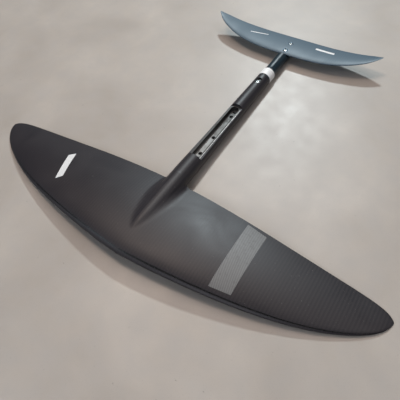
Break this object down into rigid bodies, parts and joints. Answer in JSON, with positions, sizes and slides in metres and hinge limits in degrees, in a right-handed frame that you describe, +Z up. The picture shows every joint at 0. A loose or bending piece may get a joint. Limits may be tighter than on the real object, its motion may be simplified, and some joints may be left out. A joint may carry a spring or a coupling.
{
  "type": "hydrofoil wing",
  "caption": "Hydrofoil front wing moulded in one with its fuselage, with an open mast socket on top, a plug-in tail tube and an upswept stabilizer held by screws.",
  "frame": {"origin": "centre of the bounding box on the floor that the two wing tips and the tail tube's end rest on", "axes": "+Z up, +Y aft, towards the stabilizer, +X to starboard, along the span"},
  "size_m": [0.7808, 0.6294, 0.0393],
  "materials": {
    "carbon_shell": "satin unidirectional carbon",
    "carbon_tube": "satin carbon tube",
    "stab_carbon": "satin blue-grey carbon",
    "laminate": "raw carbon laminate",
    "foam": "closed-cell foam",
    "socket_metal": "anodised, worn",
    "steel": "stainless",
    "white_tape": "printed tape",
    "shim_plastic": "moulded"
  },
  "bodies": {
    "foil": {"upper_shell": "carbon_shell", "lower_shell": "carbon_shell", "wing_spar": "laminate", "wing_foam_port": "foam", "wing_foam_starboard": "foam", "fuselage_core": "laminate", "mast_tray": "socket_metal", "mast_screw_sleeve_1": "steel", "mast_screw_sleeve_2": "steel", "mast_screw_sleeve_3": "steel", "mast_screw_sleeve_4": "steel", "tail_sleeve": "laminate", "tail_tube": "carbon_tube", "spigot_plug": "socket_metal", "tail_block": "socket_metal", "label_band": "white_tape", "lock_thread_insert": "steel", "stab_shim": "shim_plastic", "stab_thread_insert_front": "steel", "stab_thread_insert_rear": "steel"},
    "lock_screw_washer": {"lock_washer": "steel"},
    "lock_screw": {"lock_screw": "steel"},
    "stabilizer": {"stab_upper_skin": "stab_carbon", "stab_lower_skin": "stab_carbon", "stab_core": "laminate", "stab_bush_front": "steel", "stab_bush_rear": "steel"},
    "stab_screw_front_washer": {"stab_washer_front": "steel"},
    "stab_screw_front": {"stab_screw_front": "steel"},
    "stab_screw_rear_washer": {"stab_washer_rear": "steel"},
    "stab_screw_rear": {"stab_screw_rear": "steel"}
  },
  "joints": [
    {"name": "stabilizer_lift", "type": "slide", "parent": "foil", "child": "stabilizer", "axis": [0, 0.0161, 0.9999], "range_m": [0, 0.04]},
    {"name": "lock_screw_rise", "type": "slide", "parent": "foil", "child": "lock_screw_washer", "axis": [0, 0.0161, 0.9999], "range_m": [0, 0.0096]},
    {"name": "lock_screw_turn", "type": "hinge", "parent": "lock_screw_washer", "child": "lock_screw", "pos_m": [0, 0.13468, 0.02724], "axis": [0, 0.0161, 0.9999], "range_deg": [0, 4320.5]},
    {"name": "stab_screw_front_rise", "type": "slide", "parent": "stabilizer", "child": "stab_screw_front_washer", "axis": [0, 0.0161, 0.9999], "range_m": [0, 0.0056]},
    {"name": "stab_screw_front_turn", "type": "hinge", "parent": "stab_screw_front_washer", "child": "stab_screw_front", "pos_m": [0, 0.25962, 0.02222], "axis": [0, 0.0161, 0.9999], "range_deg": [0, 2520.5]},
    {"name": "stab_screw_rear_rise", "type": "slide", "parent": "stabilizer", "child": "stab_screw_rear_washer", "axis": [0, 0.0161, 0.9999], "range_m": [0, 0.0056]},
    {"name": "stab_screw_rear_turn", "type": "hinge", "parent": "stab_screw_rear_washer", "child": "stab_screw_rear", "pos_m": [0, 0.28562, 0.0218], "axis": [0, 0.0161, 0.9999], "range_deg": [0, 2520.5]}
  ],
  "couplings": [
    {"joint": "lock_screw_turn", "follows": "lock_screw_rise", "rad_per_m": 7854},
    {"joint": "stab_screw_front_turn", "follows": "stab_screw_front_rise", "rad_per_m": 7854},
    {"joint": "stab_screw_rear_turn", "follows": "stab_screw_rear_rise", "rad_per_m": 7854}
  ]
}
